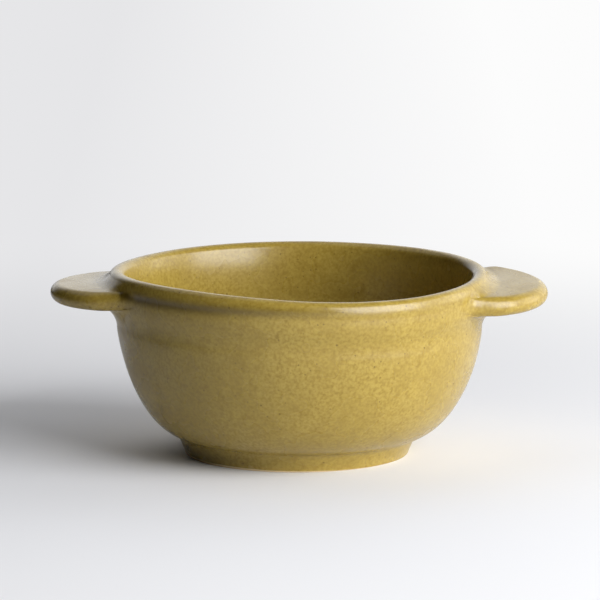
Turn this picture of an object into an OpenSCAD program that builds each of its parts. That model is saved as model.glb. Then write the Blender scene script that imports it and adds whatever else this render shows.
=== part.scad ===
// Lug soup bowl in glazed stoneware: a deep thrown bowl with a rounded rim, a low foot
// ring and two flat lugs luted under the rim. Millimetres, +Z up. The origin is the middle
// of the foot's face, the lugs point along X and the front of the bowl faces -Y.

/* [Bowl] */
// Height from the table to the crest of the lip
bowl_h = 66.2; // [60:0.2:76]
// Widest diameter of the wall, below the rim
shoulder_d = 131.2; // [120:0.2:140]
// Height of that widest place above the table
shoulder_h = 46; // [40:0.5:50]
// Length of the pull that keeps the wall upright below the shoulder
shoulder_pull = 4; // [0:0.5:12]
// Diameter where the wall comes down to the foot
heel_d = 84.6; // [72:0.2:92]
// Length of the pull that keeps the wall low beside the foot
heel_pull = 18.7; // [12:0.1:22]
// Slope of the wall where it leaves the foot, in degrees
heel_angle = 15.4; // [8:0.2:24]
// Thickness of the wall at the shoulder
wall_t = 4.5; // [3:0.1:7]
// Thickness of the wall at the foot
heel_t = 6.8; // [5:0.1:8]
// Thickness of the floor in the middle
floor_t = 5; // [3:0.1:6]

/* [Rim] */
// How far the wall opens from the shoulder up to the rim's widest line
rim_flare = 2.6; // [1:0.1:4]
// Height of the crest above the rim's widest line
lip_rise = 3.9; // [3:0.1:5]
// Distance from the crest out to the rim's widest line
lip_out = 2.5; // [2:0.1:4]
// Distance from the crest in to the mouth
lip_in = 3.4; // [2:0.1:4]
// Depth of the rounding on the mouth side of the crest
lip_fall = 3; // [2:0.1:5]

/* [Foot ring] */
// Height of the foot ring
foot_h = 6.3; // [5:0.1:8]
// Width of the foot ring where it meets the bowl
foot_w = 7.5; // [5:0.1:10]
// How far the foot ring steps in under the heel of the wall
foot_step = 0.2; // [0.1:0.1:1.5]
// How much the outside of the foot ring draws in towards its face
foot_taper = 1.9; // [0.5:0.1:2.5]
// How much the inside of the foot ring opens towards its face
recess_taper = 0.8; // [0.2:0.1:1.5]
// Rounding of the foot ring's two lower edges
foot_round = 0.8; // [0.3:0.1:1.2]

/* [Lugs] */
// Length of the bowl over both lugs
lug_span = 178; // [168:1:190]
// Radius of a lug's rounded end, seen from above
lug_r = 31.5; // [26:0.5:33]
// Radius of the hollow corner between a lug and the rim, seen from above
root_r = 10; // [6:0.5:14]
// Thickness of a lug
lug_t = 6.7; // [5:0.1:8]
// Drop from the crest of the lip to the top of a lug, beside the rim
lug_drop = 4.3; // [3.8:0.1:6]
// Slope of a lug down towards its tip, in degrees
lug_droop = 1.7; // [0:0.1:4]
// Length of the rounded edge of a lug
lug_nose = 3.6; // [3:0.1:6]
// Width of the hollow between the lip and the top of a lug
lug_valley = 4.5; // [3:0.1:7]
// Radius of the fillet under a lug
lug_fillet = 8; // [5:0.5:10]
// Reach past the rim at which a lug has its full section
lug_fade = 4; // [3:0.5:6]
// Place on the lip where a lug's top begins, in degrees from the crest
lug_join_angle = 50; // [40:1:60]
// Thickness of the slip that lutes a lug to the bowl
slip_t = 0.05; // [0.02:0.01:0.1]
// Thickness to which a lug thins out on the rim and the wall
feather_t = 0.15; // [0.1:0.05:0.3]

/* [Hidden] */
$fn = 96;

glaze_colour = [0.71, 0.61, 0.29];
lug_colour = [0.76, 0.66, 0.33];
foot_colour = [0.66, 0.57, 0.29];

// Steps along each curve of the bowl's outline
wall_steps = 18;
flare_steps = 10;
lip_steps = 8;
mouth_steps = 4;
floor_steps = 6;
foot_steps = 4;

// Steps along a lug's outline and round its section
tip_steps = 14;
root_steps = 6;
valley_steps = 4;
nose_steps = 4;
fillet_steps = 4;

// Share of a narrow lug section that its rounded edge may take
nose_share = 0.6;
// How sharply one limit takes over from another where a lug narrows
limit_power = 4;

shoulder_r = shoulder_d / 2;
heel_r = heel_d / 2;
rim_r = shoulder_r + rim_flare;
rim_z = bowl_h - lip_rise;
crest_r = rim_r - lip_out;
mouth_r = crest_r - lip_in;
mouth_z = bowl_h - lip_fall;
floor_z = foot_h + floor_t;

lug_reach = lug_span / 2;
lug_centre = lug_reach - lug_r;
lug_top = bowl_h - lug_drop;
lug_under = lug_top - lug_t;
join_r = crest_r + lip_out * sin(lug_join_angle);
join_z = rim_z + lip_rise * cos(lug_join_angle);
join_slope = lip_rise * tan(lug_join_angle) / lip_out;

// Even steps from 0 to 1
function steps(count) = [for (i = [0:count]) i / count];

// Ease from 0 to 1 with level ends
function ease(t) = t * t * (3 - 2 * t);

// The smaller of two lengths, eased where they are nearly alike
function soft_min(a, b) = a * b / pow(pow(a, limit_power) + pow(b, limit_power), 1 / limit_power);

// Point at t on a cubic curve
function cubic(p, t) =
    pow(1 - t, 3) * p[0] + 3 * t * pow(1 - t, 2) * p[1] + 3 * t * t * (1 - t) * p[2] + t * t * t * p[3];

// Direction at t on a cubic curve
function cubic_dir(p, t) =
    pow(1 - t, 2) * (p[1] - p[0]) + 2 * t * (1 - t) * (p[2] - p[1]) + t * t * (p[3] - p[2]);

// Point at t on a quadratic curve
function quadratic(p, t) = pow(1 - t, 2) * p[0] + 2 * t * (1 - t) * p[1] + t * t * p[2];

// All but the first point of a list
function tail(list) = [for (i = [1:len(list) - 1]) list[i]];

// A list in the other order
function reversed(list) = [for (i = [len(list) - 1:-1:0]) list[i]];

// Outside of the wall from the foot up to the shoulder
wall_curve = [
    [heel_r, foot_h],
    [heel_r + heel_pull * cos(heel_angle), foot_h + heel_pull * sin(heel_angle)],
    [shoulder_r, shoulder_h - shoulder_pull],
    [shoulder_r, shoulder_h],
];
wall_outside = [for (t = steps(wall_steps)) cubic(wall_curve, t)];

// Inside of the wall: the same curve moved in by a thickness that grows towards the foot
function wall_inner(t) =
    let (dir = cubic_dir(wall_curve, t) / norm(cubic_dir(wall_curve, t)))
    let (thick = heel_t + (wall_t - heel_t) * ease(t))
    cubic(wall_curve, t) + thick * [-dir.y, dir.x];
wall_inside = [for (t = steps(wall_steps)) wall_inner(t)];

// Slow flare from the shoulder out to the rim's widest line, upright at both ends
flare_curve = [
    [shoulder_r, shoulder_h],
    [shoulder_r, (shoulder_h + rim_z) / 2],
    [rim_r, (shoulder_h + rim_z) / 2],
    [rim_r, rim_z],
];
flare = [for (t = steps(flare_steps)) cubic(flare_curve, t)];

lip_outside = [for (t = steps(lip_steps))
    [crest_r + lip_out * cos(90 * t), rim_z + lip_rise * sin(90 * t)]];
lip_inside = [for (t = steps(lip_steps))
    [crest_r - lip_in * sin(90 * t), mouth_z + lip_fall * cos(90 * t)]];

// Inside of the mouth, from the lip down to the shoulder
shoulder_inside_r = shoulder_r - wall_t;
mouth_inside = [for (t = steps(mouth_steps))
    [mouth_r + (shoulder_inside_r - mouth_r) * ease(t), mouth_z + (shoulder_h - mouth_z) * t]];

// Floor, from the middle out to the wall, which it meets along the wall's own slope
heel_inside = wall_inside[0];
floor_curve = [
    [0, floor_z],
    [heel_inside.x - (heel_inside.y - floor_z) / tan(heel_angle), floor_z],
    heel_inside,
];
floor_inside = [for (t = steps(floor_steps)) quadratic(floor_curve, t)];

// The bowl's outside from the foot to the crest, which the lugs seat against
outside = concat(wall_outside, tail(flare), tail(lip_outside));
outside_table = [for (p = outside) [p.y, p.x]];
function outside_r(z) = lookup(z, outside_table);

// Thrown bowl: wall, rounded rim and floor, with a flat land underneath for the foot ring
module bowl_body() {
    mouth = concat(tail(reversed(mouth_inside)), tail(reversed(lip_inside)));
    inside = concat(floor_inside, tail(wall_inside), mouth);
    color(glaze_colour)
        rotate_extrude()
            polygon(concat([[0, foot_h]], outside, tail(reversed(inside))));
}

// Quarter round at a lower corner of the foot ring, from its side down to its face
function foot_edge(centre_r, side) = [for (t = steps(foot_steps))
    [centre_r + side * foot_round * cos(90 * t), foot_round * (1 - sin(90 * t))]];

// Foot ring: its outside draws in and its recess opens towards the face it stands on
module foot_ring() {
    top_outer_r = heel_r - foot_step;
    top_inner_r = top_outer_r - foot_w;
    face_outer_r = top_outer_r - foot_taper;
    face_inner_r = top_inner_r + recess_taper;
    outer_edge = foot_edge(face_outer_r - foot_round, 1);
    inner_edge = foot_edge(face_inner_r + foot_round, -1);
    color(foot_colour)
        rotate_extrude()
            polygon(concat(
                [[top_outer_r, foot_h]], outer_edge, reversed(inner_edge), [[top_inner_r, foot_h]]));
}

// Plan of a lug: a round end, joined to the rim by a hollow corner on each side.
// The corner's centre stands root_r off both the round end and the rim.
corner_reach = rim_r + root_r;
corner_turn = acos(
    (lug_centre * lug_centre + corner_reach * corner_reach - pow(lug_r + root_r, 2))
    / (2 * lug_centre * corner_reach));
corner = corner_reach * [cos(corner_turn), sin(corner_turn)];
tip_turn = atan2(corner.y, corner.x - lug_centre);

// Plan point as its angle and reach from the bowl's axis, and how far the edge slants there
function plan_point(p, facing) =
    let (turn = atan2(p.y, p.x))
    [turn, norm(p), facing - turn];
function tip_point(turn) = plan_point([lug_centre, 0] + lug_r * [cos(turn), sin(turn)], turn);
function corner_point(turn) = plan_point(corner - root_r * [cos(turn), sin(turn)], turn);

// Half of the plan, from the middle of the tip to where the lug ends at the rim
half_plan = concat(
    [for (t = steps(tip_steps)) tip_point(tip_turn * t)],
    tail([for (t = steps(root_steps)) corner_point(tip_turn + (corner_turn - tip_turn) * t)]));
far_half = [for (p = tail(half_plan)) [-p[0], p[1], -p[2]]];
lug_plan = concat(reversed(far_half), half_plan);

// How far a lug has sloped down at this distance from the bowl's axis
function droop(r) = max(0, r - rim_r) * tan(lug_droop);
function drooped(p) = [p.x, p.y - droop(p.x)];

// Section of a lug in the upright plane through the bowl's axis, from the lip round the
// edge to the wall below, for a lug that reaches this far and has an edge this slanted
function lug_section(reach, slant) =
    let (run = reach - join_r)
    let (nose = soft_min(lug_nose / cos(slant), nose_share * run))
    let (valley = soft_min(lug_valley, run - nose))
    let (bend_r = join_r + min(valley, (join_z - lug_top) / join_slope))
    let (fillet = soft_min(lug_fillet, reach - nose - shoulder_r))
    let (nose_r = reach - nose)
    let (nose_z = lug_top - lug_t / 2)
    let (wall_r = outside_r(lug_under - fillet) + slip_t)
    let (valley_curve = [[join_r + slip_t, join_z], [bend_r, lug_top], [join_r + valley, lug_top]])
    let (section = concat(
        [for (t = steps(valley_steps)) quadratic(valley_curve, t)],
        [for (t = steps(2 * nose_steps))
            [nose_r + nose * sin(180 * t), nose_z + lug_t / 2 * cos(180 * t)]],
        [for (t = steps(fillet_steps))
            [wall_r + fillet * (1 - sin(90 * t)), lug_under - fillet * (1 - cos(90 * t))]]))
    [for (p = section) drooped(p)];

// The place on the bowl that faces each point of that section
function lug_seat(section) =
    let (last = len(section) - 1)
    let (low = section[last].y)
    [for (j = [0:last])
        let (z = join_z + (low - join_z) * j / last)
        [outside_r(z) + slip_t, z]];

// A lug's outer points sink back to the bowl where the lug fades out beside the rim, and
// never into it
function lug_outer(section, seat, reach) =
    let (full = sin(90 * min(1, (reach - rim_r) / lug_fade)))
    let (last = len(section) - 1)
    [for (j = [0:last])
        let (p = seat[j] + full * (section[j] - seat[j]))
        let (least = (j == 0 || j == last) ? slip_t : slip_t + feather_t)
        [max(p.x, outside_r(p.y) + least), p.y]];

function upright(profile, turn) = [for (p = profile) [p.x * cos(turn), p.x * sin(turn), p.y]];

// Two triangles over the patch with corners a, b, c and d, split from a to c or from b to d
function patch(a, b, c, d, split_ac) =
    split_ac ? [[a, b, c], [a, c, d]] : [[a, b, d], [b, c, d]];

// Solid between the outer sheet and the seat, which share their first and last points and,
// at the lug's two ends, every point
module lug(plan) {
    sections = [for (p = plan) lug_section(p[1], p[2])];
    seats = [for (s = sections) lug_seat(s)];
    stations = len(plan);
    outers = [for (i = [0:stations - 1])
        (i == 0 || i == stations - 1) ? seats[i] : lug_outer(sections[i], seats[i], plan[i][1])];
    last = len(sections[0]) - 1;
    width = last + 1;
    outer_points = [for (i = [0:stations - 1]) for (p = upright(outers[i], plan[i][0])) p];
    seat_points = [for (i = [0:stations - 1]) for (p = upright(seats[i], plan[i][0])) p];
    function outer_index(i, j) = i * width + j;
    function seat_index(i, j) =
        (i == 0 || i == stations - 1 || j == 0 || j == last)
            ? outer_index(i, j)
            : (stations + i) * width + j;
    // Each patch is split towards the nearest corner of its sheet, so that the two sheets
    // have no triangle in common where they meet
    function to_corner(i, j) = (2 * i < stations - 1) == (2 * j < last);
    patches = [for (i = [0:stations - 2]) for (j = [0:last - 1]) [i, j]];
    outer_faces = [for (p = patches)
        let (i = p[0], j = p[1])
        each patch(
            outer_index(i, j), outer_index(i + 1, j),
            outer_index(i + 1, j + 1), outer_index(i, j + 1), to_corner(i, j))];
    seat_faces = [for (p = patches)
        let (i = p[0], j = p[1])
        each patch(
            seat_index(i, j), seat_index(i, j + 1),
            seat_index(i + 1, j + 1), seat_index(i + 1, j), to_corner(i, j))];
    color(lug_colour)
        polyhedron(concat(outer_points, seat_points), concat(outer_faces, seat_faces));
}

module right_lug() {
    lug(lug_plan);
}

module left_lug() {
    rotate([0, 0, 180])
        lug(lug_plan);
}

bowl_body();
foot_ring();
left_lug();
right_lug();
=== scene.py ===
"""Lug soup bowl: a thrown stoneware bowl in a satin ochre glaze, with two flat lugs.

Every length is in metres. X runs along the lugs, the front of the bowl faces -Y, and Z is
up from the face that the foot ring stands on.
"""

import logging
import math
from collections.abc import Iterable, Sequence
from dataclasses import dataclass, field
from enum import Enum
from typing import Any

import bpy
import numpy as np
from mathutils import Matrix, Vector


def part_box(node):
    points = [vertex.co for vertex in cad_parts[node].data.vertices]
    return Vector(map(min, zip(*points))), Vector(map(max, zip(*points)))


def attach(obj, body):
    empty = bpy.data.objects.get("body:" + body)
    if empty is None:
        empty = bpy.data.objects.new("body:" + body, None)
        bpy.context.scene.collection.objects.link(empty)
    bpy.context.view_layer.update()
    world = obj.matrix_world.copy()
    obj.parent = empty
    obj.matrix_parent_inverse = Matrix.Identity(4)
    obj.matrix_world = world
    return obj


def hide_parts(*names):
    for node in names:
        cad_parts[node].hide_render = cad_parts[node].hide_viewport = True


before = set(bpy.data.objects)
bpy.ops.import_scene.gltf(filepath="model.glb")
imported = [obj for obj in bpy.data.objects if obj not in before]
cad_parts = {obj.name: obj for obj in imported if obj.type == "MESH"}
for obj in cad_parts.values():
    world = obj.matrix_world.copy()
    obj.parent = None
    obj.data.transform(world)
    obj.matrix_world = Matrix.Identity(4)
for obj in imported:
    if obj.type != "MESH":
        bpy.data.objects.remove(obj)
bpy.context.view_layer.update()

LOG = logging.getLogger("lug_soup_bowl")
MM = 0.001
BODY = "root"

Tree = bpy.types.NodeTree
Socket = bpy.types.NodeSocket
Outputs = bpy.types.bpy_prop_collection
Piece = bpy.types.Object
Finishes = dict[str, bpy.types.Material]


# Helpers for lengths, colours and nodes

def mm(length: float) -> float:
    """Millimetres as metres."""
    return length * MM


def hex_colour(code: str) -> tuple[float, float, float, float]:
    """Linear colour of an sRGB hex value.

    Args:
        code: six hex digits, with or without a leading hash.

    Returns:
        Red, green, blue and an alpha of 1.
    """
    digits = code.lstrip("#")
    srgb = [int(digits[i:i + 2], 16) / 255 for i in (0, 2, 4)]
    linear = [c / 12.92 if c <= 0.04045 else ((c + 0.055) / 1.055) ** 2.4 for c in srgb]
    return (*linear, 1.0)


def add_node(tree: Tree, kind: str, inputs: dict | None = None, **settings: Any) -> Outputs:
    """Adds a node with its settings, and gives each named input a value or a link.

    Args:
        tree: the node tree.
        kind: the node's type.
        inputs: input names or numbers, each with a plain value or another node's output.
        settings: the node's own attributes.

    Returns:
        The new node's outputs.
    """
    node = tree.nodes.new(kind)
    for name, value in settings.items():
        setattr(node, name, value)
    for name, value in (inputs or {}).items():
        if isinstance(value, Socket):
            tree.links.new(value, node.inputs[name])
        else:
            node.inputs[name].default_value = value
    return node.outputs


def cleared_tree(owner: bpy.types.Material | bpy.types.World) -> Tree:
    """Node tree of a material or a world, with nothing in it."""
    owner.use_nodes = True
    owner.node_tree.nodes.clear()
    return owner.node_tree


def open_tree(name: str, geometry: str, numbers: dict[str, float | int]) -> tuple[Tree, Outputs]:
    """Starts a Geometry Nodes tree that takes a geometry, numbers and a finish.

    Args:
        name: the tree's name.
        geometry: the name of the geometry that goes in.
        numbers: the name and the default of each number.

    Returns:
        The tree, and the outputs of its input node.
    """
    tree = bpy.data.node_groups.new(name, "GeometryNodeTree")
    face = tree.interface
    face.new_socket(geometry, in_out="INPUT", socket_type="NodeSocketGeometry")
    for label, value in numbers.items():
        kind = "NodeSocketInt" if isinstance(value, int) else "NodeSocketFloat"
        face.new_socket(label, in_out="INPUT", socket_type=kind).default_value = value
    face.new_socket("Finish", in_out="INPUT", socket_type="NodeSocketMaterial")
    face.new_socket("Geometry", in_out="OUTPUT", socket_type="NodeSocketGeometry")
    return tree, add_node(tree, "NodeGroupInput")


def close_tree(tree: Tree, made: Socket, finish: Socket) -> Tree:
    """Ends a Geometry Nodes tree: what it made becomes real and gets its finish.

    Args:
        tree: the node tree.
        made: the geometry that it made.
        finish: the material that it was given.

    Returns:
        The same tree.
    """
    real = add_node(tree, "GeometryNodeRealizeInstances", {0: made})[0]
    glazed = add_node(tree, "GeometryNodeSetMaterial", {"Geometry": real, "Material": finish})[0]
    add_node(tree, "NodeGroupOutput", {0: glazed})
    return tree


def input_names(tree: Tree) -> dict[str, str]:
    """Identifier of each input socket of a Geometry Nodes tree, by the socket's name."""
    sockets = [s for s in tree.interface.items_tree if s.item_type == "SOCKET" and s.in_out == "INPUT"]
    return {s.name: s.identifier for s in sockets}


# Helpers for curves and meshes

def bezier(points: Sequence[Sequence[float]], count: int) -> np.ndarray:
    """Points along the Bezier curve that these control points draw.

    Args:
        points: the control points, the curve's two ends among them.
        count: how many steps the curve has.

    Returns:
        One row for each of the count + 1 points.
    """
    t = np.linspace(0.0, 1.0, count + 1)[:, None, None]
    rows = np.repeat(np.asarray(points, float)[None], count + 1, axis=0)
    while rows.shape[1] > 1:
        rows = (1 - t) * rows[:, :-1] + t * rows[:, 1:]
    return rows[:, 0]


def quarter(centre: Sequence[float], radius: float, start: float, count: int) -> np.ndarray:
    """Quarter of a circle, anticlockwise from an angle.

    Args:
        centre: the circle's centre.
        radius: its radius.
        start: the angle where the quarter starts, in radians.
        count: how many steps it has.

    Returns:
        One row for each of the count + 1 points.
    """
    turn = np.linspace(start, start + math.pi / 2, count + 1)
    return np.asarray(centre) + radius * np.column_stack([np.cos(turn), np.sin(turn)])


def ease(t: np.ndarray) -> np.ndarray:
    """Eases from 0 to 1 with level ends."""
    return t * t * (3 - 2 * t)


def soft_min(a: float, b: float, power: float = 4.0) -> float:
    """The smaller of two lengths, eased where they are nearly alike."""
    return a * b / (a**power + b**power) ** (1 / power)


def joined(pieces: Iterable[np.ndarray]) -> np.ndarray:
    """One outline from stretches that each start where the last one ended."""
    listed = list(pieces)
    return np.vstack([listed[0]] + [piece[1:] for piece in listed[1:]])


def plain_mesh(name: str, points: np.ndarray, faces: Sequence = (), edges: Sequence = ()) -> Piece:
    """Object with a plain mesh, linked to the scene.

    Args:
        name: the object's and the mesh's name.
        points: one row of x, y and z for each vertex.
        faces: vertex numbers of each face.
        edges: vertex numbers of each loose edge.

    Returns:
        The object, at the origin.
    """
    mesh = bpy.data.meshes.new(name)
    mesh.from_pydata(points.tolist(), list(edges), list(faces))
    mesh.update()
    obj = bpy.data.objects.new(name, mesh)
    bpy.context.scene.collection.objects.link(obj)
    return obj


def use_tree(piece: Piece, tree: Tree, values: dict[str, Any]) -> None:
    """Adds a Geometry Nodes modifier and sets its inputs by their sockets' identifiers.

    Args:
        piece: the piece to put it on.
        tree: the node tree.
        values: a value for each input that isn't left at its default, by the input's name.
    """
    modifier = piece.modifiers.new(tree.name, "NODES")
    modifier.node_group = tree
    names = input_names(tree)
    for name, value in values.items():
        modifier[names[name]] = value


def clean_sheet(piece: Piece) -> None:
    """Drops points that no face uses and shades the faces smooth."""
    mesh = piece.data
    used = np.zeros(len(mesh.vertices), bool)
    corners = np.empty(len(mesh.loops), int)
    mesh.loops.foreach_get("vertex_index", corners)
    used[corners] = True
    numbers = np.cumsum(used) - 1
    points = np.empty(len(mesh.vertices) * 3)
    mesh.vertices.foreach_get("co", points)
    points = points.reshape(-1, 3)[used]
    faces = [tuple(int(numbers[v]) for v in face.vertices) for face in mesh.polygons]
    mesh.clear_geometry()
    mesh.from_pydata(points.tolist(), [], faces)
    mesh.update()
    mesh.shade_smooth()


def settle(piece: Piece) -> None:
    """Turns what a piece's modifiers make into its own plain mesh."""
    bpy.context.view_layer.update()
    evaluated = piece.evaluated_get(bpy.context.evaluated_depsgraph_get())
    made = bpy.data.meshes.new_from_object(evaluated)
    piece.modifiers.clear()
    spent = piece.data
    piece.data = made
    made.name = piece.name
    bpy.data.meshes.remove(spent)


def finish(piece: Piece, finishes: Finishes, slot: str, node: str) -> None:
    """Settles a piece, gives it its finish and puts it in place of its solid.

    Args:
        piece: the piece, with its modifiers.
        finishes: the materials, by their slots.
        slot: the material slot of the record that the finish belongs to.
        node: the solid that the piece stands for.
    """
    for modifier in piece.modifiers:
        modifier[input_names(modifier.node_group)["Finish"]] = finishes[slot]
    settle(piece)
    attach(piece, BODY)
    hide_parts(node)
    LOG.info("%s: %d faces", piece.name, len(piece.data.polygons))


# Sizes of the bowl

@dataclass(frozen=True)
class BowlSizes:
    """Driving sizes of the thrown bowl, in the words that its source uses.

    The lip's crest and its widest line lie on one curve, whose two pulls make it squarer
    than a round one. Under it the wall rolls in and then flares down to the shoulder.
    """

    height: float
    rim_r: float
    foot_h: float
    shoulder_h: float = mm(46)
    shoulder_pull: float = mm(4.5)
    heel_r: float = mm(42.3)
    heel_pull: float = mm(18.7)
    heel_angle: float = math.radians(15.4)
    wall_t: float = mm(4.5)
    heel_t: float = mm(6.8)
    floor_t: float = mm(5)
    rim_flare: float = mm(2.6)
    roll_in: float = mm(0.25)
    roll_fall: float = mm(2.8)
    lip_rise: float = mm(3.8)
    lip_out: float = mm(3.0)
    lip_in: float = mm(2.8)
    lip_fall: float = mm(2.0)
    lip_up_share: float = 0.55
    lip_out_share: float = 0.72
    mouth_angle: float = math.radians(14)
    mouth_pull: float = mm(5)
    outer_steps: int = 72
    inner_steps: int = 64
    bend_steps: int = 26
    roll_steps: int = 10
    lip_steps: int = 14
    floor_steps: int = 30
    land_steps: int = 14

    @property
    def shoulder_r(self) -> float:
        """Radius of the wall at its widest."""
        return self.rim_r - self.rim_flare

    @property
    def rim_z(self) -> float:
        """Height of the rim's widest line."""
        return self.height - self.lip_rise

    @property
    def crest(self) -> tuple[float, float]:
        """Radius and height of the lip's crest."""
        return self.rim_r - self.lip_out, self.height

    @property
    def wall_curve(self) -> list[tuple[float, float]]:
        """Control points of the wall's outside from the foot up to the shoulder."""
        pull = self.heel_pull
        return [
            (self.heel_r, self.foot_h),
            (self.heel_r + pull * math.cos(self.heel_angle), self.foot_h + pull * math.sin(self.heel_angle)),
            (self.shoulder_r, self.shoulder_h - self.shoulder_pull),
            (self.shoulder_r, self.shoulder_h),
        ]

    def land(self) -> np.ndarray:
        """Flat underside from the axis out to the wall, which the foot ring is thrown on."""
        return np.linspace((0.0, self.foot_h), (self.heel_r, self.foot_h), self.land_steps + 1)

    def outside(self) -> np.ndarray:
        """Outline from the foot up to the crest of the lip.

        Returns:
            Radius and height of each point.
        """
        crest_r, crest_z = self.crest
        hollow_r, hollow_z = self.rim_r - self.roll_in, self.rim_z - self.roll_fall
        middle_z = (self.shoulder_h + hollow_z) / 2
        flare = bezier([
            (self.shoulder_r, self.shoulder_h), (self.shoulder_r, middle_z),
            (hollow_r, middle_z), (hollow_r, hollow_z)], self.bend_steps)
        roll = bezier([
            (hollow_r, hollow_z), (hollow_r, hollow_z + self.roll_fall / 2),
            (self.rim_r, self.rim_z - self.roll_fall / 2), (self.rim_r, self.rim_z)], self.roll_steps)
        lip = bezier([
            (self.rim_r, self.rim_z), (self.rim_r, self.rim_z + self.lip_up_share * self.lip_rise),
            (crest_r + self.lip_out_share * self.lip_out, crest_z), self.crest], self.lip_steps)
        return joined([bezier(self.wall_curve, self.outer_steps), flare, roll, lip])

    def inside(self) -> np.ndarray:
        """Outline from the crest of the lip down the inside to the middle of the floor.

        Returns:
            Radius and height of each point.
        """
        crest_r, crest_z = self.crest
        mouth = np.array([crest_r - self.lip_in, crest_z - self.lip_fall])
        opening = np.array([math.sin(self.mouth_angle), math.cos(self.mouth_angle)])
        inner_r = self.shoulder_r - self.wall_t
        lip = bezier([
            self.crest, (crest_r - self.lip_in / 2, crest_z),
            mouth + self.lip_fall / 2 * opening, mouth], self.lip_steps)
        throat = bezier([
            mouth, mouth - self.mouth_pull * opening,
            (inner_r, (self.shoulder_h + mouth[1]) / 2), (inner_r, self.shoulder_h)], self.bend_steps)
        wall = bezier(self.wall_curve, self.inner_steps)
        along = np.gradient(wall, axis=0)
        along /= np.linalg.norm(along, axis=1)[:, None]
        thick = self.heel_t + (self.wall_t - self.heel_t) * ease(np.linspace(0, 1, len(wall)))
        inner_wall = (wall + thick[:, None] * np.column_stack([-along[:, 1], along[:, 0]]))[::-1]
        heel = inner_wall[-1]
        floor_z = self.foot_h + self.floor_t
        bend_r = heel[0] - (heel[1] - floor_z) / math.tan(self.heel_angle)
        floor = bezier([heel, (bend_r, floor_z), (0.0, floor_z)], self.floor_steps)
        return joined([lip, throat, inner_wall, floor])


# Throwing and firing

@dataclass(frozen=True)
class Throwing:
    """Geometry Nodes that throw an outline round the bowl's axis.

    Attributes:
        stations: how many points each turn has.
        weld: how near two points are that become one.
    """

    stations: int = 360
    weld: float = mm(0.0005)

    def tree(self) -> Tree:
        """Builds the tree.

        The input mesh is a line of points, with the radius in x and the height in z. A grid
        has one row for each of them and is wrapped round the axis, and its seam and poles
        are merged.

        Returns:
            The node tree.
        """
        tree, given = open_tree(
            "thrown_form", "Outline", {"Stations": self.stations, "Weld": self.weld, "Aside": 0.0})
        rows = add_node(tree, "GeometryNodeAttributeDomainSize", {0: given["Outline"]})["Point Count"]
        columns = add_node(tree, "ShaderNodeMath", {0: given["Stations"], 1: 1.0}, operation="ADD")[0]
        grid = add_node(tree, "GeometryNodeMeshGrid", {"Vertices X": columns, "Vertices Y": rows})["Mesh"]
        index = add_node(tree, "GeometryNodeInputIndex")[0]
        row = add_node(tree, "ShaderNodeMath", {0: index, 1: rows}, operation="MODULO")[0]
        column = add_node(tree, "ShaderNodeMath", {0: index, 1: rows}, operation="DIVIDE")[0]
        column = add_node(tree, "ShaderNodeMath", {0: column}, operation="FLOOR")[0]
        share = add_node(tree, "ShaderNodeMath", {0: column, 1: given["Stations"]}, operation="DIVIDE")[0]
        turn = add_node(tree, "ShaderNodeMath", {0: share, 1: 2 * math.pi}, operation="MULTIPLY")[0]
        place = add_node(tree, "GeometryNodeInputPosition")[0]
        point = add_node(
            tree, "GeometryNodeSampleIndex", {"Geometry": given["Outline"], "Value": place, "Index": row},
            data_type="FLOAT_VECTOR")[0]
        thrown = add_node(
            tree, "ShaderNodeVectorRotate", {"Vector": point, "Angle": turn},
            rotation_type="Z_AXIS")[0]
        aside = add_node(tree, "ShaderNodeCombineXYZ", {"X": given["Aside"]})[0]
        placed = add_node(
            tree, "GeometryNodeSetPosition", {"Geometry": grid, "Position": thrown, "Offset": aside})[0]
        welded = add_node(
            tree, "GeometryNodeMergeByDistance", {"Geometry": placed, "Distance": given["Weld"]})[0]
        smooth = add_node(tree, "GeometryNodeSetShadeSmooth", {"Geometry": welded})[0]
        return close_tree(tree, smooth, given["Finish"])


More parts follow.
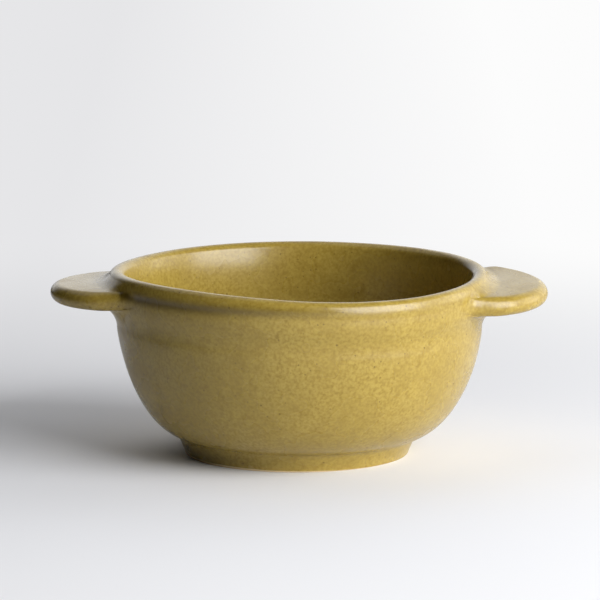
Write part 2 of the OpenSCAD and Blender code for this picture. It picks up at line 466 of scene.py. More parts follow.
@dataclass(frozen=True)
class KilnWarp:
    """Geometry Nodes that move a piece as the throwing and the kiln moved the clay.

    Attributes:
        height: the height at which the waves are full; they fade out down to the foot.
        waves: for each number of crests round the rim, its cosine and sine heights.
        sway: how far the belly stands off to the right of the rim and the foot.
        lean: how far the rim stands off to the left of the foot.
        wobble: how far the unevenness of hand work moves the clay.
        wobble_size: the length of its swells.
        seed: which of many like surfaces it takes.
    """

    height: float
    waves: tuple[tuple[int, float, float], ...] = (
        (1, mm(-0.54), mm(0.20)),
        (2, mm(0.20), mm(0.83)),
        (3, mm(0.36), mm(-0.12)),
    )
    sway: float = mm(0.42)
    lean: float = mm(0.2)
    wobble: float = mm(0.22)
    wobble_size: float = mm(34)
    seed: float = 3.0

    def lift(self, tree: Tree, given: Outputs, place: Socket) -> Socket:
        """How far the waves lift the clay at each place round the rim.

        Args:
            tree: the node tree.
            given: the outputs of its input node.
            place: the position.

        Returns:
            The output with the height.
        """
        split = add_node(tree, "ShaderNodeSeparateXYZ", {0: place})
        turn = add_node(tree, "ShaderNodeMath", {0: split["Y"], 1: split["X"]}, operation="ARCTAN2")[0]
        lift = 0.0
        for crests, _, _ in self.waves:
            angle = add_node(tree, "ShaderNodeMath", {0: turn, 1: float(crests)}, operation="MULTIPLY")[0]
            for word, shape in (("Cosine", "COSINE"), ("Sine", "SINE")):
                swing = add_node(tree, "ShaderNodeMath", {0: angle}, operation=shape)[0]
                lift = add_node(
                    tree, "ShaderNodeMath", {0: swing, 1: given[f"{word} {crests}"], 2: lift},
                    operation="MULTIPLY_ADD")[0]
        return lift

    def across(self, tree: Tree, given: Outputs, fade: Socket) -> Socket:
        """How far the clay stands off to the right: most at the belly, and less than none at the rim.

        Args:
            tree: the node tree.
            given: the outputs of its input node.
            fade: 0 at the foot and 1 at the rim.

        Returns:
            The output with the distance.
        """
        rest = add_node(tree, "ShaderNodeMath", {0: 1.0, 1: fade}, operation="SUBTRACT")[0]
        belly = add_node(tree, "ShaderNodeMath", {0: fade, 1: rest}, operation="MULTIPLY")[0]
        # That is a quarter at the most, so four of it reach 1
        belly = add_node(tree, "ShaderNodeMath", {0: belly, 1: 4.0}, operation="MULTIPLY")[0]
        right = add_node(tree, "ShaderNodeMath", {0: belly, 1: given["Sway"]}, operation="MULTIPLY")[0]
        left = add_node(tree, "ShaderNodeMath", {0: given["Lean"], 1: fade}, operation="MULTIPLY")[0]
        return add_node(tree, "ShaderNodeMath", {0: right, 1: left}, operation="SUBTRACT")[0]

    def tree(self) -> Tree:
        """Builds the tree.

        Returns:
            The node tree.
        """
        numbers = {"Full height": self.height}
        for crests, cosine, sine in self.waves:
            numbers |= {f"Cosine {crests}": cosine, f"Sine {crests}": sine}
        numbers |= {"Sway": self.sway, "Lean": self.lean, "Wobble": self.wobble}
        numbers |= {"Wobble size": self.wobble_size, "Seed": self.seed}
        tree, given = open_tree("kiln_warp", "Geometry", numbers)
        place = add_node(tree, "GeometryNodeInputPosition")[0]
        height = add_node(tree, "ShaderNodeSeparateXYZ", {0: place})["Z"]
        fade = add_node(
            tree, "ShaderNodeMapRange", {"Value": height, "From Max": given["Full height"]},
            interpolation_type="SMOOTHSTEP")[0]
        lift = self.lift(tree, given, place)
        lift = add_node(tree, "ShaderNodeMath", {0: lift, 1: fade}, operation="MULTIPLY")[0]
        across = self.across(tree, given, fade)
        scale = add_node(tree, "ShaderNodeMath", {0: 1.0, 1: given["Wobble size"]}, operation="DIVIDE")[0]
        swell = add_node(
            tree, "ShaderNodeTexNoise", {"Vector": place, "W": given["Seed"], "Scale": scale, "Detail": 1.0},
            noise_dimensions="4D")["Color"]
        swell = add_node(
            tree, "ShaderNodeVectorMath", {0: swell, 1: (0.5, 0.5, 0.5)}, operation="SUBTRACT")[0]
        give = add_node(tree, "ShaderNodeMath", {0: given["Wobble"], 1: fade}, operation="MULTIPLY")[0]
        swell = add_node(tree, "ShaderNodeVectorMath", {0: swell, "Scale": give}, operation="SCALE")[0]
        shift = add_node(tree, "ShaderNodeCombineXYZ", {"X": across, "Z": lift})[0]
        move = add_node(tree, "ShaderNodeVectorMath", {0: swell, 1: shift})[0]
        moved = add_node(tree, "GeometryNodeSetPosition", {"Geometry": given["Geometry"], "Offset": move})[0]
        return close_tree(tree, moved, given["Finish"])


@dataclass(frozen=True)
class Shaping:
    """The two trees that shape the clay: one throws an outline and the other warps a piece."""

    throw: Tree
    warp: Tree

    def thrown(self, name: str, outline: np.ndarray, values: dict[str, Any]) -> Piece:
        """Piece thrown from an outline and warped with the bowl.

        Args:
            name: the piece's name.
            outline: radius and height of each point.
            values: the throwing's inputs that aren't left at their defaults.

        Returns:
            The piece, with its modifiers.
        """
        points = np.insert(outline, 1, 0.0, axis=1)
        piece = plain_mesh(name, points, edges=[(i, i + 1) for i in range(len(points) - 1)])
        use_tree(piece, self.throw, values)
        use_tree(piece, self.warp, {})
        return piece


# Finishes

@dataclass(frozen=True)
class Drift:
    """Soft, uneven change in the glaze, from 0 up to its strength.

    Attributes:
        size: the length of its swells.
        detail: how many times finer swells are added.
        least: the share of the swell below which there is none.
        most: the share of the swell above which it is full.
        strength: how strong it is where it is full.
    """

    size: float
    detail: float
    least: float
    most: float
    strength: float = 1.0

    def spread(self, tree: Tree, place: Socket) -> Socket:
        """Lays the drift over a piece.

        Args:
            tree: the material's node tree.
            place: the object coordinates.

        Returns:
            The output with the drift.
        """
        swell = add_node(
            tree, "ShaderNodeTexNoise",
            {"Vector": place, "Scale": 1 / self.size, "Detail": self.detail})[0]
        return add_node(
            tree, "ShaderNodeMapRange",
            {"Value": swell, "From Min": self.least, "From Max": self.most, "To Max": self.strength})[0]


@dataclass(frozen=True)
class Specks:
    """Scattered round spots in the glaze.

    Attributes:
        cell: how far apart the places are where a spot may lie.
        radius: the largest spot's radius.
        share: the share of places that has a spot.
        strength: how far a spot covers the glaze around it.
        core_share: the share of a spot's radius that is full.
    """

    cell: float
    radius: float
    share: float
    strength: float
    core_share: float = 0.45

    def spread(self, tree: Tree, place: Socket) -> Socket:
        """Scatters the spots over a piece.

        Args:
            tree: the material's node tree.
            place: the object coordinates.

        Returns:
            The output with the spots.
        """
        cells = add_node(tree, "ShaderNodeTexVoronoi", {"Vector": place, "Scale": 1 / self.cell})
        chance = add_node(tree, "ShaderNodeSeparateColor", {0: cells["Color"]})["Red"]
        reach = add_node(
            tree, "ShaderNodeMapRange",
            {"Value": chance, "From Min": 1 - self.share, "From Max": 1.0,
             "To Max": self.radius / self.cell})[0]
        core = add_node(tree, "ShaderNodeMath", {0: reach, 1: self.core_share}, operation="MULTIPLY")[0]
        spot = add_node(
            tree, "ShaderNodeMapRange",
            {"Value": cells["Distance"], "From Min": reach, "From Max": core})[0]
        return add_node(tree, "ShaderNodeMath", {0: spot, 1: self.strength}, operation="MULTIPLY")[0]


@dataclass(frozen=True)
class PoolAndShade:
    """Place round the bowl where the glaze ran together while it was soft; its darkening is partly painted
    shade, made deeper on the left, away from the window.

    Attributes:
        inner_r: the least distance from the bowl's axis.
        outer_r: the greatest distance from the bowl's axis.
        height: the height where the glaze and its painted shade are deepest.
        spread: how far above and below that it ends.
        between: the places along X where its darkness starts and stops to change.
        pool_and_shade_depths: how dark it is up to the first of them and from the second one on; that change
            along X is painted shade, deepest on the left, away from the window.
        edge: how soft its inner and outer bounds are.
    """

    inner_r: float
    outer_r: float
    height: float
    spread: float
    between: tuple[float, float]
    pool_and_shade_depths: tuple[float, float]
    edge: float = mm(1)

    def depth(self, tree: Tree, place: Socket) -> Socket:
        """How deep the glaze and its painted shade are, 0 outside it.

        Args:
            tree: the material's node tree.
            place: the object coordinates.

        Returns:
            The output with the pooling and its painted shade.
        """
        at = add_node(tree, "ShaderNodeSeparateXYZ", {0: place})
        flat = add_node(tree, "ShaderNodeCombineXYZ", {"X": at["X"], "Y": at["Y"]})[0]
        reach = add_node(tree, "ShaderNodeVectorMath", {0: flat}, operation="LENGTH")["Value"]
        off = add_node(tree, "ShaderNodeMath", {0: at["Z"], 1: self.height}, operation="SUBTRACT")[0]
        off = add_node(tree, "ShaderNodeMath", {0: off}, operation="ABSOLUTE")[0]
        depth = add_node(
            tree, "ShaderNodeMapRange", {"Value": off, "From Min": self.spread, "From Max": 0.0},
            interpolation_type="SMOOTHSTEP")[0]
        edges = (
            {"Value": reach, "From Min": self.inner_r - self.edge, "From Max": self.inner_r},
            {"Value": reach, "From Min": self.outer_r, "From Max": self.outer_r - self.edge},
            {"Value": at["X"], "From Min": self.between[0], "From Max": self.between[1],
             "To Min": self.pool_and_shade_depths[0], "To Max": self.pool_and_shade_depths[1]},
        )
        for edge in edges:
            share = add_node(tree, "ShaderNodeMapRange", edge)[0]
            depth = add_node(tree, "ShaderNodeMath", {0: depth, 1: share}, operation="MULTIPLY")[0]
        return depth


@dataclass(frozen=True)
class BareClay:
    """Line of bare clay where the glaze was wiped off above the standing face.

    Attributes:
        height: the height of the bare line, 0 where nothing is wiped.
        least_share: the share of it that is bare all round, in the middle of the bowl.
        ragged_share: the share of it that comes and goes.
        slope: how much it rises for each length to the left.
        ragged_size: the length of its swells.
        edge: how soft its upper edge is.
    """

    height: float = 0.0
    least_share: float = 0.3
    ragged_share: float = 0.4
    slope: float = 0.012
    ragged_size: float = mm(9)
    edge: float = mm(0.12)

    def shown(self, tree: Tree, place: Socket) -> Socket | float:
        """Where the clay is bare.

        Args:
            tree: the material's node tree.
            place: the object coordinates.

        Returns:
            The output, 1 where the clay is bare, or 0 where nothing is wiped.
        """
        if not self.height:
            return 0.0
        at = add_node(tree, "ShaderNodeSeparateXYZ", {0: place})
        least = add_node(
            tree, "ShaderNodeMath", {0: at["X"], 1: -self.slope, 2: self.least_share * self.height},
            operation="MULTIPLY_ADD")[0]
        ragged = add_node(tree, "ShaderNodeTexNoise", {"Vector": place, "Scale": 1 / self.ragged_size})[0]
        line = add_node(
            tree, "ShaderNodeMath", {0: ragged, 1: self.ragged_share * self.height, 2: least},
            operation="MULTIPLY_ADD")[0]
        above = add_node(tree, "ShaderNodeMath", {0: line, 1: at["Z"]}, operation="SUBTRACT")[0]
        return add_node(
            tree, "ShaderNodeMapRange",
            {"Value": above, "From Min": -self.edge, "From Max": self.edge})[0]


# Stoneware dipped in glaze and fired: a soft, waxy gloss over a cloudy colour. The eye sees
# window light spread wide on it, brown where iron in the clay bled through as fine specks,
# pale where tiny pits closed, and darker and deeper where the glaze ran together. That darker
# colour also holds painted shade under the lip and round the foot, strongest on the left.
@dataclass(frozen=True)
class SatinGlaze:
    """Satin ochre stoneware glaze, dipped and fired.

    Attributes:
        pools_and_shade: the places where it ran together, darkened further with painted shade on the left.
        bare: the line of bare clay at its lower edge.
        body: its colour on the open wall.
        deep: its colour where it is thicker.
        pale: its colour in the pits.
        iron: the colour of the specks.
        pooled_and_shaded: its colour where it ran together, also laid on as painted shade.
        clay: the colour of the bare clay.
        gloss: its roughness where it is thinnest and where it is thickest.
        dry: how much rougher the bare clay is.
        ior: its index of refraction, as of any fired glaze.
        cloud: the slow change in its thickness.
        cloud_share: how far that changes its colour.
        blotch: the change over a few millimetres.
        mottle: the change over about a millimetre.
        pits: the pale pits.
        specks: the brown specks.
        grain_size: the length of the finest ripples on its surface.
        swell_size: the length of the slow ripples under them.
        swell_share: how much higher the slow ones are.
        ripple: the height of the ripples.
    """

    pools_and_shade: tuple[PoolAndShade, ...]
    bare: BareClay = BareClay()
    name: str = "satin_ochre_glaze_with_painted_shade"
    body: str = "#a38d42"
    deep: str = "#7d6420"
    pale: str = "#b9a665"
    iron: str = "#4a3310"
    # pooled colour: glaze that ran together, also laid on as painted shade under the lip and in the foot
    # crease
    pooled_and_shaded: str = "#4c3b0a"
    clay: str = "#cdb791"
    gloss: tuple[float, float] = (0.22, 0.31)
    dry: float = 0.5
    ior: float = 1.5
    cloud: Drift = Drift(mm(14), 2.0, 0.32, 0.68)
    cloud_share: float = 0.22
    blotch: Drift = Drift(mm(2.6), 1.0, 0.52, 0.72, 0.2)
    mottle: Drift = Drift(mm(1.1), 2.0, 0.36, 0.64, 0.55)
    pits: Specks = Specks(mm(5.2), mm(0.36), 0.55, 0.55)
    specks: Specks = Specks(mm(2.2), mm(0.5), 0.7, 0.6)
    grain_size: float = mm(0.45)
    swell_size: float = mm(3)
    swell_share: float = 2.0
    ripple: float = mm(0.012)

    def colour(self, tree: Tree, place: Socket, cloud: Socket, bare: Socket | float) -> Socket:
        """Colour of the glaze, laid over its body colour layer by layer.

        Args:
            tree: the material's node tree.
            place: the object coordinates.
            cloud: the slow change in the glaze's thickness.
            bare: where the clay is bare.

        Returns:
            The output with the colour.
        """
        clouded = add_node(tree, "ShaderNodeMath", {0: cloud, 1: self.cloud_share}, operation="MULTIPLY")[0]
        mottled = add_node(
            tree, "ShaderNodeMath",
            {0: self.mottle.spread(tree, place), 1: self.blotch.spread(tree, place)})[0]
        depth = 0.0
        for pool_with_shade in self.pools_and_shade:
            depth = add_node(tree, "ShaderNodeMath", {0: pool_with_shade.depth(tree, place), 1: depth})[0]
        layers = (
            (clouded, self.deep),
            (mottled, self.deep),
            # painted shade: the pooled colour also darkens the groove under the lip and the foot crease,
            # most on the left, away from the window
            (depth, self.pooled_and_shaded),
            (self.pits.spread(tree, place), self.pale),
            (self.specks.spread(tree, place), self.iron),
            (bare, self.clay),
        )
        colour = hex_colour(self.body)
        for share, code in layers:
            colour = add_node(
                tree, "ShaderNodeMix", {0: share, 6: colour, 7: hex_colour(code)},
                data_type="RGBA")[2]
        return colour

    def ripples(self, tree: Tree, place: Socket) -> Socket:
        """Surface of the glaze, which is never quite level.

        Args:
            tree: the material's node tree.
            place: the object coordinates.

        Returns:
            The output with the normal.
        """
        grain = add_node(
            tree, "ShaderNodeTexNoise", {"Vector": place, "Scale": 1 / self.grain_size, "Detail": 2.0})[0]
        swell = add_node(
            tree, "ShaderNodeTexNoise", {"Vector": place, "Scale": 1 / self.swell_size, "Detail": 1.0})[0]
        relief = add_node(
            tree, "ShaderNodeMath", {0: swell, 1: self.swell_share, 2: grain},
            operation="MULTIPLY_ADD")[0]
        return add_node(
            tree, "ShaderNodeBump", {"Strength": 1.0, "Distance": self.ripple, "Height": relief})[0]

    def material(self) -> bpy.types.Material:
        """Builds the material.

        Returns:
            The material, in object coordinates.
        """
        made = bpy.data.materials.new(self.name)
        tree = cleared_tree(made)
        place = add_node(tree, "ShaderNodeTexCoord")["Object"]
        cloud = self.cloud.spread(tree, place)
        bare = self.bare.shown(tree, place)
        thin, thick = self.gloss
        dull = add_node(tree, "ShaderNodeMapRange", {"Value": cloud, "To Min": thin, "To Max": thick})[0]
        dull = add_node(tree, "ShaderNodeMath", {0: bare, 1: self.dry, 2: dull}, operation="MULTIPLY_ADD")[0]
        shader = add_node(tree, "ShaderNodeBsdfPrincipled", {
            "Base Color": self.colour(tree, place, cloud, bare), "Roughness": dull, "IOR": self.ior,
            "Normal": self.ripples(tree, place)})
        add_node(tree, "ShaderNodeOutputMaterial", {"Surface": shader[0]})
        return made


def glaze_pools_and_shade(sizes: BowlSizes) -> tuple[PoolAndShade, ...]:
    """Places where the glaze ran together: under the lip, and round the foot ring, darkened further with
    painted shade on the left.

    Args:
        sizes: the bowl's sizes.

    Returns:
        The two places, each with its painted shade.
    """
    # painted shade: under the lip the darkening falls from 0.9 on the left to 0.12 on the right, the shaded
    # groove away from the window
    under_lip_pool_and_shade = PoolAndShade(
        inner_r=sizes.rim_r - mm(3), outer_r=sizes.rim_r + mm(2.3),
        height=sizes.rim_z - mm(0.5), spread=mm(3.3),
        between=(mm(-55), mm(40)), pool_and_shade_depths=(0.9, 0.12))
    # painted shade: round the foot the darkening is 0.75 on the left and none on the right, shade in the
    # crease away from the window
    foot_pool_and_shade = PoolAndShade(
        inner_r=sizes.heel_r - mm(4.3), outer_r=sizes.heel_r + mm(2.3),
        height=sizes.foot_h - mm(3.1), spread=mm(4.6),
        between=(mm(-55), mm(5)), pool_and_shade_depths=(0.75, 0.0))
    return under_lip_pool_and_shade, foot_pool_and_shade


# Pieces

class Side(Enum):
    """The side of the bowl that a lug is on, with the way it points along X."""

    LEFT = -1
    RIGHT = 1

    @property
    def node(self) -> str:
        """Name of the solid that the lug stands for."""
        return f"{self.name.lower()}_lug"


@dataclass
class BowlBody:
    """The thrown bowl: wall, rounded rim and floor."""

    sizes: BowlSizes
    piece: Piece | None = None

    def build(self, shaping: Shaping) -> None:
        """Throws the outline round the axis and warps it."""
        outline = joined([self.sizes.land(), self.sizes.outside(), self.sizes.inside()])
        self.piece = shaping.thrown("glazed_bowl_body", outline, {})

    def dress(self, finishes: Finishes) -> None:
        """Gives the bowl its glaze and puts it in place of its solid."""
        finish(self.piece, finishes, "glaze", "bowl_body")


@dataclass
class FootRing:
    """The low ring that the bowl stands on, with glaze drawn into the corners beside the wall.

    Attributes:
        step: how far the ring steps in under the heel, or out where it is less than 0.
        width: its width where it meets the bowl.
        taper: how much its outside draws in towards its face.
        recess_taper: how much its inside opens towards its face.
        corner_fill: how far the glaze reaches out of the corners.
        sink: how far the glaze reaches into the wall above, so that no gap is left.
        aside: how far the ring stands off to the right, or to the left where it is less than 0.
    """

    sizes: BowlSizes
    step: float = mm(-0.3)
    width: float = mm(7.5)
    taper: float = mm(2.3)
    recess_taper: float = mm(0.8)
    edge_round: float = mm(0.6)
    corner_fill: float = mm(1.6)
    sink: float = mm(0.4)
    aside: float = mm(-0.8)
    fill_steps: int = 10
    edge_steps: int = 10
    side_points: int = 8
    top_points: int = 4
    face_points: int = 12
    piece: Piece | None = None

    def outline(self) -> np.ndarray:
        """Closed outline of the ring, anticlockwise from the top of its outside.

        Returns:
            Radius and height of each point, the first repeated at the end.
        """
        top_z, fill, bend = self.sizes.foot_h, self.corner_fill, self.edge_round
        outer_top = self.sizes.heel_r - self.step
        inner_top = outer_top - self.width
        outer_face = outer_top - self.taper
        inner_face = inner_top + self.recess_taper
        rise = fill * math.tan(self.sizes.heel_angle)
        outer_fill = bezier([
            (outer_top - self.taper * fill / top_z, top_z - fill),
            (outer_top, top_z),
            (outer_top + fill, top_z + rise + self.sink)], self.fill_steps)
        inner_fill = bezier([
            (inner_top - fill, top_z + self.sink),
            (inner_top, top_z),
            (inner_top + self.recess_taper * fill / top_z, top_z - fill)], self.fill_steps)
        outer_edge = quarter((outer_face - bend, bend), bend, -math.pi / 2, self.edge_steps)
        inner_edge = quarter((inner_face + bend, bend), bend, math.pi, self.edge_steps)
        top = np.linspace(outer_fill[-1], inner_fill[0], self.top_points)
        recess = np.linspace(inner_fill[-1], inner_edge[0], self.side_points)
        face = np.linspace(inner_edge[-1], outer_edge[0], self.face_points)
        side = np.linspace(outer_edge[-1], outer_fill[0], self.side_points)
        return joined([outer_fill, top, inner_fill, recess, inner_edge, face, outer_edge, side])

    def build(self, shaping: Shaping) -> None:
        """Throws the ring's outline round the axis and warps it."""
        self.piece = shaping.thrown("glazed_foot_ring", self.outline(), {"Aside": self.aside})

    def dress(self, finishes: Finishes) -> None:
        """Gives the ring its finish and puts it in place of its solid."""
        finish(self.piece, finishes, "foot_glaze", "foot_ring")


@dataclass
class Lug:
    """A flat tab luted under the rim, lofted through upright sections round the bowl's axis.

    Attributes:
        reach: how far its tip is from the bowl's axis.
        pitch: how steeply it rises towards its tip, besides its droop.
        roll: how steeply it rises towards the back.
        lift: how much higher the hand set it.
        stretch: how much further out the hand drew it.
        end_r: the radius of its round end, seen from above.
        root_r: the radius of the hollow corners beside the rim, seen from above.
        drop: the drop from the crest of the lip to its top.
        droop: the slope of its top down to the tip.
        nose: the length of its rounded edge.
        valley: the width of the hollow between the lip and its top.
        fade: how far past the rim it has its full section.
        join_share: how high up the lip its top begins.
        join_span: the height over which the lip's slope is taken there.
        sink: how far it reaches into the bowl, so that no gap is left.
        nose_share: the share of a narrow section that its rounded edge may take.
        level_at: the distance from the axis at which pitch lifts nothing.
        free_at: how far past the rim the hand's tilt is full.
        outline: the bowl's outline, which every section asks for.
    """

    sizes: BowlSizes
    side: Side
    reach: float
    pitch: float = 0.0
    roll: float = 0.0
    lift: float = 0.0
    stretch: float = 0.0
    end_r: float = mm(31.5)
    root_r: float = mm(20)
    thick: float = mm(6.7)
    drop: float = mm(4.3)
    droop: float = math.radians(1.7)
    nose: float = mm(3.6)
    valley: float = mm(5.5)
    fillet: float = mm(10)
    fade: float = mm(12)
    join_share: float = 0.75
    join_span: float = mm(0.2)
    sink: float = mm(0.08)
    nose_share: float = 0.6
    level_at: float = mm(60)
    free_at: float = mm(8)
    tip_steps: int = 56
    root_steps: int = 24
    valley_steps: int = 16
    nose_steps: int = 24
    fillet_steps: int = 18
    piece: Piece | None = None
    outline: np.ndarray = field(default_factory=lambda: np.zeros((0, 2)))

    def __post_init__(self) -> None:
        """Keeps the bowl's outline."""
        self.outline = self.sizes.outside()

    def wall_r(self, z: np.ndarray | float) -> np.ndarray | float:
        """Radius at which the lug meets the bowl at a height."""
        return np.interp(z, self.outline[:, 1], self.outline[:, 0]) - self.sink

    def plan(self) -> list[tuple[float, float, float]]:
        """Plan of the lug: a round end, joined to the rim by a hollow corner on each side.

        Returns:
            For each station from the one end at the rim to the other, its angle round the
            axis, how far it reaches, and how slanted its edge is there.
        """
        centre = self.reach - self.end_r
        corner_reach = self.sizes.rim_r + self.root_r
        opposite = (self.end_r + self.root_r) ** 2
        corner_turn = math.acos((centre**2 + corner_reach**2 - opposite) / (2 * centre * corner_reach))
        corner = corner_reach * np.array([math.cos(corner_turn), math.sin(corner_turn)])
        tip_turn = math.atan2(corner[1], corner[0] - centre)
        arcs = (
            (np.array([centre, 0]), self.end_r, np.linspace(0, tip_turn, self.tip_steps + 1)),
            (corner, -self.root_r, np.linspace(tip_turn, corner_turn, self.root_steps + 1)[1:]),
        )
        stations = []
        for middle, radius, turns in arcs:
            for turn in turns:
                p = middle + radius * np.array([math.cos(turn), math.sin(turn)])
                at = math.atan2(p[1], p[0])
                stations.append((at, float(np.hypot(*p)), turn - at))
        return [(-at, reach, -slant) for at, reach, slant in stations[:0:-1]] + stations

    def section(self, reach: float, slant: float) -> np.ndarray:
        """Section in the upright plane through the bowl's axis, from the lip to the wall below.

        Args:
            reach: how far the lug reaches at this station.
            slant: how slanted its edge is there, in radians.

        Returns:
            Radius and height of each point.
        """
        s = self.sizes
        join_z = s.rim_z + self.join_share * s.lip_rise
        join_r = self.wall_r(join_z) + self.sink
        near = self.join_span / 2
        join_slope = self.join_span / (self.wall_r(join_z - near) - self.wall_r(join_z + near))
        top = s.height - self.drop
        under = top - self.thick
        run = reach - join_r
        nose = soft_min(self.nose / math.cos(slant), self.nose_share * run)
        valley = soft_min(self.valley, run - nose)
        bend_r = join_r + min(valley, (join_z - top) / join_slope)
        fillet = soft_min(self.fillet, reach - nose - s.shoulder_r)
        wall_r = self.wall_r(under - fillet)
        hollow = bezier(
            [(join_r - self.sink, join_z), (bend_r, top), (join_r + valley, top)], self.valley_steps)
        t = np.linspace(0, math.pi, self.nose_steps + 1)
        edge = np.column_stack([
            reach - nose + nose * np.sin(t), top - self.thick / 2 + self.thick / 2 * np.cos(t)])
        t = np.linspace(0, math.pi / 2, self.fillet_steps + 1)
        below = np.column_stack([wall_r + fillet * (1 - np.sin(t)), under - fillet * (1 - np.cos(t))])
        points = np.vstack([hollow, edge, below])
        points[:, 1] -= np.maximum(0, points[:, 0] - s.rim_r) * math.tan(self.droop)
        return points

    def seat(self, section: np.ndarray) -> np.ndarray:
        """Places on the bowl that face the section's points."""
        z = np.linspace(section[0, 1], section[-1, 1], len(section))
        return np.column_stack([self.wall_r(z), z])

    def loft(self) -> tuple[np.ndarray, list[tuple[int, ...]]]:
        """Points and faces of the lug as it points along +X, level and unwarped.

        Returns:
            The points, and each face's point numbers.
        """
        plan = self.plan()
        outer, inner = [], []
        for at, reach, slant in plan:
            section = self.section(reach, slant)
            seat = self.seat(section)
            full = math.sin(math.pi / 2 * min(1.0, (reach - self.sizes.rim_r) / self.fade))
            sheet = seat + full * (section - seat)
            for rows, profile in ((outer, sheet), (inner, seat)):
                rows.append(np.column_stack([
                    profile[:, 0] * math.cos(at), profile[:, 0] * math.sin(at), profile[:, 1]]))
        width, count = len(outer[0]), len(plan)
        numbers = np.arange(count * width).reshape(count, width)
        behind = numbers + count * width
        behind[0], behind[-1] = numbers[0], numbers[-1]
        behind[:, 0], behind[:, -1] = numbers[:, 0], numbers[:, -1]
        faces = []
        for i in range(count - 1):
            for j in range(width - 1):
                faces.append((numbers[i, j], numbers[i, j + 1], numbers[i + 1, j + 1], numbers[i + 1, j]))
                faces.append((behind[i, j], behind[i + 1, j], behind[i + 1, j + 1], behind[i, j + 1]))
        points = np.vstack(outer + inner)
        return points, [tuple(int(v) for v in face) for face in faces]

    def tilt(self, points: np.ndarray) -> np.ndarray:
        """Lifts, pitches and rolls what stands clear of the rim, as the hand left it.

        Args:
            points: the lug's points, pointing the right way along X.

        Returns:
            The moved points.
        """
        moved = points.copy()
        reach = np.hypot(points[:, 0], points[:, 1])
        free = ease(np.clip((reach - self.sizes.rim_r) / self.free_at, 0, 1))
        out = np.abs(points[:, 0]) - self.level_at
        moved[:, 2] += free * (self.lift + self.pitch * out + self.roll * points[:, 1])
        moved[:, 0] += free * self.side.value * self.stretch
        return moved

    def build(self, shaping: Shaping) -> None:
        """Lofts the lug, turns it to its side and warps it with the rim.

        Args:
            shaping: the trees that shape the clay.
        """
        points, faces = self.loft()
        points[:, :2] *= self.side.value
        self.piece = plain_mesh(f"glazed_{self.side.node}", self.tilt(points), faces)
        clean_sheet(self.piece)
        use_tree(self.piece, shaping.warp, {})

    def dress(self, finishes: Finishes) -> None:
        """Gives the lug its glaze and puts it in place of its solid."""
        finish(self.piece, finishes, "glaze", self.side.node)


# Studio

@dataclass(frozen=True)
class SoftLamp:
    """Square of soft light that faces the bowl.

    Attributes:
        name: the lamp's name.
        turn: its direction from the front of the bowl round to the right.
        rise: its height above the horizon, seen from the bowl.
        distance: how far away it is.
        size: its width and height.
        watts: its power.
    """

    name: str
    turn: float
    rise: float
    distance: float
    size: tuple[float, float]
    watts: float

    def hang(self) -> None:
        """Hangs the lamp in the scene."""
        data = bpy.data.lights.new(self.name, "AREA")
        data.shape = "RECTANGLE"
        data.size, data.size_y = self.size
        data.energy = self.watts
        obj = bpy.data.objects.new(self.name, data)
        flat = self.distance * math.cos(self.rise)
        up = self.distance * math.sin(self.rise)
        obj.location = (flat * math.sin(self.turn), -flat * math.cos(self.turn), up)
        obj.rotation_euler = (math.pi / 2 - self.rise, 0, self.turn)
        bpy.context.scene.collection.objects.link(obj)


@dataclass(frozen=True)
class SoftGlow:
    """Round patch of the surroundings that throws soft light back at the bowl.

    Attributes:
        turn: the direction of its middle from the front of the bowl round to the right.
        rise: its height above the horizon.
        core: how far from the middle it is at its brightest.
        edge: how far from the middle it ends.
        light: how bright it is.
    """

    turn: float
    rise: float
    core: float
    edge: float
    light: float

    def towards(self) -> tuple[float, float, float]:
        """Direction of the middle, as a vector of length 1."""
        flat = math.cos(self.rise)
        return flat * math.sin(self.turn), -flat * math.cos(self.turn), math.sin(self.rise)


